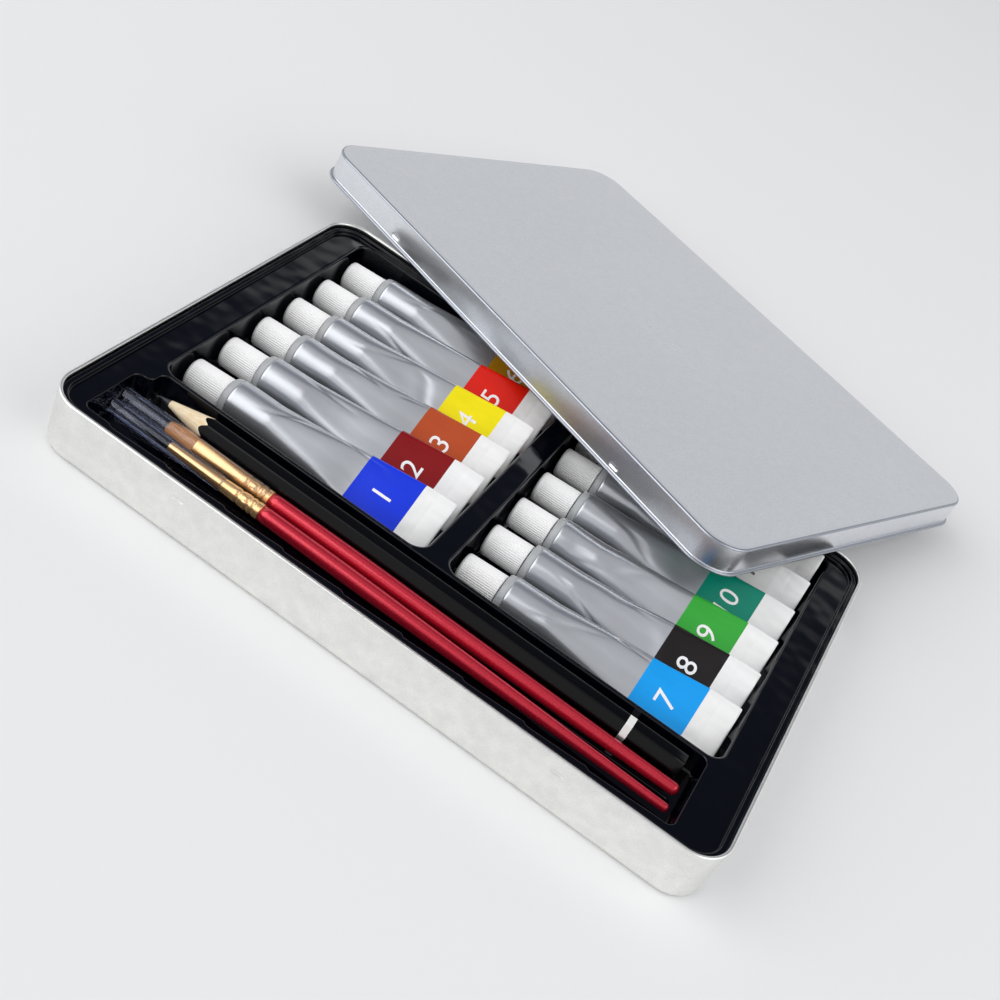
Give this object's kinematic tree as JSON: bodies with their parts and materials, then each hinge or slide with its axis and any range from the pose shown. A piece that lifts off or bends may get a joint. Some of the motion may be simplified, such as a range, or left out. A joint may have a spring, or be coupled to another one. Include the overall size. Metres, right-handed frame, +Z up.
{
  "type": "artist paint tin",
  "caption": "Flat slip-lid tin with a black moulded tray of small paint tubes, two sleeved brushes and a pencil; the loose lid leans on the far rim.",
  "frame": {"origin": "centre of the base's flat bottom", "axes": "+X along the length from the caps towards the tube tails, +Y away from the brush well, +Z up"},
  "size_m": [0.2614, 0.3206, 0.0371],
  "materials": {
    "tinplate": "satin tinplate",
    "tray_plastic": "gloss vacuum-formed sheet",
    "tube_laminate": "satin aluminium laminate",
    "cap_plastic": "fine-ribbed moulded cap",
    "red_lacquer": "metallic red lacquer on wood",
    "gold_metal": "polished",
    "round_hair": "brush hair",
    "flat_hair": "brush hair",
    "clear_plastic": "clear tube",
    "pencil_lacquer": "black lacquer over cedar",
    "graphite": "graphite",
    "paint_left_1": "wet paint",
    "paint_left_2": "wet paint",
    "paint_left_3": "wet paint",
    "paint_left_4": "wet paint",
    "paint_left_5": "wet paint",
    "paint_left_6": "wet paint",
    "paint_right_1": "wet paint",
    "paint_right_2": "wet paint",
    "paint_right_3": "wet paint",
    "paint_right_4": "wet paint",
    "paint_right_5": "wet paint",
    "paint_right_6": "wet paint"
  },
  "bodies": {
    "tin": {"tin_base": "tinplate", "tray": "tray_plastic"},
    "lid": {"tin_lid": "tinplate"},
    "tube_left_1_body": {"tube_left_1": "tube_laminate", "paint_left_1": "paint_left_1"},
    "cap_left_1_body": {"cap_left_1": "cap_plastic"},
    "tube_left_2_body": {"tube_left_2": "tube_laminate", "paint_left_2": "paint_left_2"},
    "cap_left_2_body": {"cap_left_2": "cap_plastic"},
    "tube_left_3_body": {"tube_left_3": "tube_laminate", "paint_left_3": "paint_left_3"},
    "cap_left_3_body": {"cap_left_3": "cap_plastic"},
    "tube_left_4_body": {"tube_left_4": "tube_laminate", "paint_left_4": "paint_left_4"},
    "cap_left_4_body": {"cap_left_4": "cap_plastic"},
    "tube_left_5_body": {"tube_left_5": "tube_laminate", "paint_left_5": "paint_left_5"},
    "cap_left_5_body": {"cap_left_5": "cap_plastic"},
    "tube_left_6_body": {"tube_left_6": "tube_laminate", "paint_left_6": "paint_left_6"},
    "cap_left_6_body": {"cap_left_6": "cap_plastic"},
    "tube_right_1_body": {"tube_right_1": "tube_laminate", "paint_right_1": "paint_right_1"},
    "cap_right_1_body": {"cap_right_1": "cap_plastic"},
    "tube_right_2_body": {"tube_right_2": "tube_laminate", "paint_right_2": "paint_right_2"},
    "cap_right_2_body": {"cap_right_2": "cap_plastic"},
    "tube_right_3_body": {"tube_right_3": "tube_laminate", "paint_right_3": "paint_right_3"},
    "cap_right_3_body": {"cap_right_3": "cap_plastic"},
    "tube_right_4_body": {"tube_right_4": "tube_laminate", "paint_right_4": "paint_right_4"},
    "cap_right_4_body": {"cap_right_4": "cap_plastic"},
    "tube_right_5_body": {"tube_right_5": "tube_laminate", "paint_right_5": "paint_right_5"},
    "cap_right_5_body": {"cap_right_5": "cap_plastic"},
    "tube_right_6_body": {"tube_right_6": "tube_laminate", "paint_right_6": "paint_right_6"},
    "cap_right_6_body": {"cap_right_6": "cap_plastic"},
    "round_brush": {"round_brush_handle": "red_lacquer", "round_brush_ferrule": "gold_metal", "round_brush_hair": "round_hair"},
    "round_sleeve": {"round_brush_sleeve": "clear_plastic"},
    "flat_brush": {"flat_brush_handle": "red_lacquer", "flat_brush_ferrule": "gold_metal", "flat_brush_hair": "flat_hair"},
    "flat_sleeve": {"flat_brush_sleeve": "clear_plastic"},
    "pencil": {"pencil_wood": "pencil_lacquer", "pencil_lead": "graphite"}
  },
  "joints": [
    {"name": "lid_lift", "type": "slide", "parent": "tin", "child": "lid", "axis": [0, 0, 1], "range_m": [0, 0.12]},
    {"name": "tube_left_1_lift", "type": "slide", "parent": "tin", "child": "tube_left_1_body", "axis": [0, 0, 1], "range_m": [0, 0.06]},
    {"name": "cap_left_1_turn", "type": "hinge", "parent": "tube_left_1_body", "child": "cap_left_1_body", "pos_m": [-0.0954, -0.02576, 0.0077], "axis": [-0.999, 0, -0.0436], "range_deg": [0, 720]},
    {"name": "tube_left_2_lift", "type": "slide", "parent": "tin", "child": "tube_left_2_body", "axis": [0, 0, 1], "range_m": [0, 0.06]},
    {"name": "cap_left_2_turn", "type": "hinge", "parent": "tube_left_2_body", "child": "cap_left_2_body", "pos_m": [-0.0954, -0.00757, 0.0077], "axis": [-0.999, 0, -0.0436], "range_deg": [0, 720]},
    {"name": "tube_left_3_lift", "type": "slide", "parent": "tin", "child": "tube_left_3_body", "axis": [0, 0, 1], "range_m": [0, 0.06]},
    {"name": "cap_left_3_turn", "type": "hinge", "parent": "tube_left_3_body", "child": "cap_left_3_body", "pos_m": [-0.0954, 0.01063, 0.0077], "axis": [-0.999, 0, -0.0436], "range_deg": [0, 720]},
    {"name": "tube_left_4_lift", "type": "slide", "parent": "tin", "child": "tube_left_4_body", "axis": [0, 0, 1], "range_m": [0, 0.06]},
    {"name": "cap_left_4_turn", "type": "hinge", "parent": "tube_left_4_body", "child": "cap_left_4_body", "pos_m": [-0.0954, 0.02882, 0.0077], "axis": [-0.999, 0, -0.0436], "range_deg": [0, 720]},
    {"name": "tube_left_5_lift", "type": "slide", "parent": "tin", "child": "tube_left_5_body", "axis": [0, 0, 1], "range_m": [0, 0.06]},
    {"name": "cap_left_5_turn", "type": "hinge", "parent": "tube_left_5_body", "child": "cap_left_5_body", "pos_m": [-0.0954, 0.04701, 0.0077], "axis": [-0.999, 0, -0.0436], "range_deg": [0, 720]},
    {"name": "tube_left_6_lift", "type": "slide", "parent": "tin", "child": "tube_left_6_body", "axis": [0, 0, 1], "range_m": [0, 0.06]},
    {"name": "cap_left_6_turn", "type": "hinge", "parent": "tube_left_6_body", "child": "cap_left_6_body", "pos_m": [-0.0954, 0.0652, 0.0077], "axis": [-0.999, 0, -0.0436], "range_deg": [0, 720]},
    {"name": "tube_right_1_lift", "type": "slide", "parent": "tin", "child": "tube_right_1_body", "axis": [0, 0, 1], "range_m": [0, 0.06]},
    {"name": "cap_right_1_turn", "type": "hinge", "parent": "tube_right_1_body", "child": "cap_right_1_body", "pos_m": [0.0057, -0.02746, 0.0077], "axis": [-0.999, 0, -0.0436], "range_deg": [0, 720]},
    {"name": "tube_right_2_lift", "type": "slide", "parent": "tin", "child": "tube_right_2_body", "axis": [0, 0, 1], "range_m": [0, 0.06]},
    {"name": "cap_right_2_turn", "type": "hinge", "parent": "tube_right_2_body", "child": "cap_right_2_body", "pos_m": [0.0057, -0.00927, 0.0077], "axis": [-0.999, 0, -0.0436], "range_deg": [0, 720]},
    {"name": "tube_right_3_lift", "type": "slide", "parent": "tin", "child": "tube_right_3_body", "axis": [0, 0, 1], "range_m": [0, 0.06]},
    {"name": "cap_right_3_turn", "type": "hinge", "parent": "tube_right_3_body", "child": "cap_right_3_body", "pos_m": [0.0057, 0.00893, 0.0077], "axis": [-0.999, 0, -0.0436], "range_deg": [0, 720]},
    {"name": "tube_right_4_lift", "type": "slide", "parent": "tin", "child": "tube_right_4_body", "axis": [0, 0, 1], "range_m": [0, 0.06]},
    {"name": "cap_right_4_turn", "type": "hinge", "parent": "tube_right_4_body", "child": "cap_right_4_body", "pos_m": [0.0057, 0.02712, 0.0077], "axis": [-0.999, 0, -0.0436], "range_deg": [0, 720]},
    {"name": "tube_right_5_lift", "type": "slide", "parent": "tin", "child": "tube_right_5_body", "axis": [0, 0, 1], "range_m": [0, 0.06]},
    {"name": "cap_right_5_turn", "type": "hinge", "parent": "tube_right_5_body", "child": "cap_right_5_body", "pos_m": [0.0057, 0.04531, 0.0077], "axis": [-0.999, 0, -0.0436], "range_deg": [0, 720]},
    {"name": "tube_right_6_lift", "type": "slide", "parent": "tin", "child": "tube_right_6_body", "axis": [0, 0, 1], "range_m": [0, 0.06]},
    {"name": "cap_right_6_turn", "type": "hinge", "parent": "tube_right_6_body", "child": "cap_right_6_body", "pos_m": [0.0057, 0.0635, 0.0077], "axis": [-0.999, 0, -0.0436], "range_deg": [0, 720]},
    {"name": "round_brush_lift", "type": "slide", "parent": "tin", "child": "round_brush", "axis": [0, 0, 1], "range_m": [0, 0.06]},
    {"name": "round_sleeve_turn", "type": "hinge", "parent": "round_brush", "child": "round_sleeve", "pos_m": [-0.0991, -0.0604, 0.0111], "axis": [0.9999, -0.0131, 0], "continuous": true},
    {"name": "flat_brush_lift", "type": "slide", "parent": "tin", "child": "flat_brush", "axis": [0, 0, 1], "range_m": [0, 0.06]},
    {"name": "flat_sleeve_turn", "type": "hinge", "parent": "flat_brush", "child": "flat_sleeve", "pos_m": [-0.0991, -0.0547, 0.01135], "axis": [1, -0.0035, 0], "continuous": true},
    {"name": "pencil_lift", "type": "slide", "parent": "tin", "child": "pencil", "axis": [0, 0, 1], "range_m": [0, 0.06]}
  ],
  "couplings": [
    {"joint": "tube_left_5_lift", "follows": "lid_lift", "ratio": 0.5},
    {"joint": "tube_left_6_lift", "follows": "lid_lift", "ratio": 0.5},
    {"joint": "tube_right_3_lift", "follows": "lid_lift", "ratio": 0.5},
    {"joint": "tube_right_4_lift", "follows": "lid_lift", "ratio": 0.5},
    {"joint": "tube_right_5_lift", "follows": "lid_lift", "ratio": 0.5},
    {"joint": "tube_right_6_lift", "follows": "lid_lift", "ratio": 0.5}
  ]
}
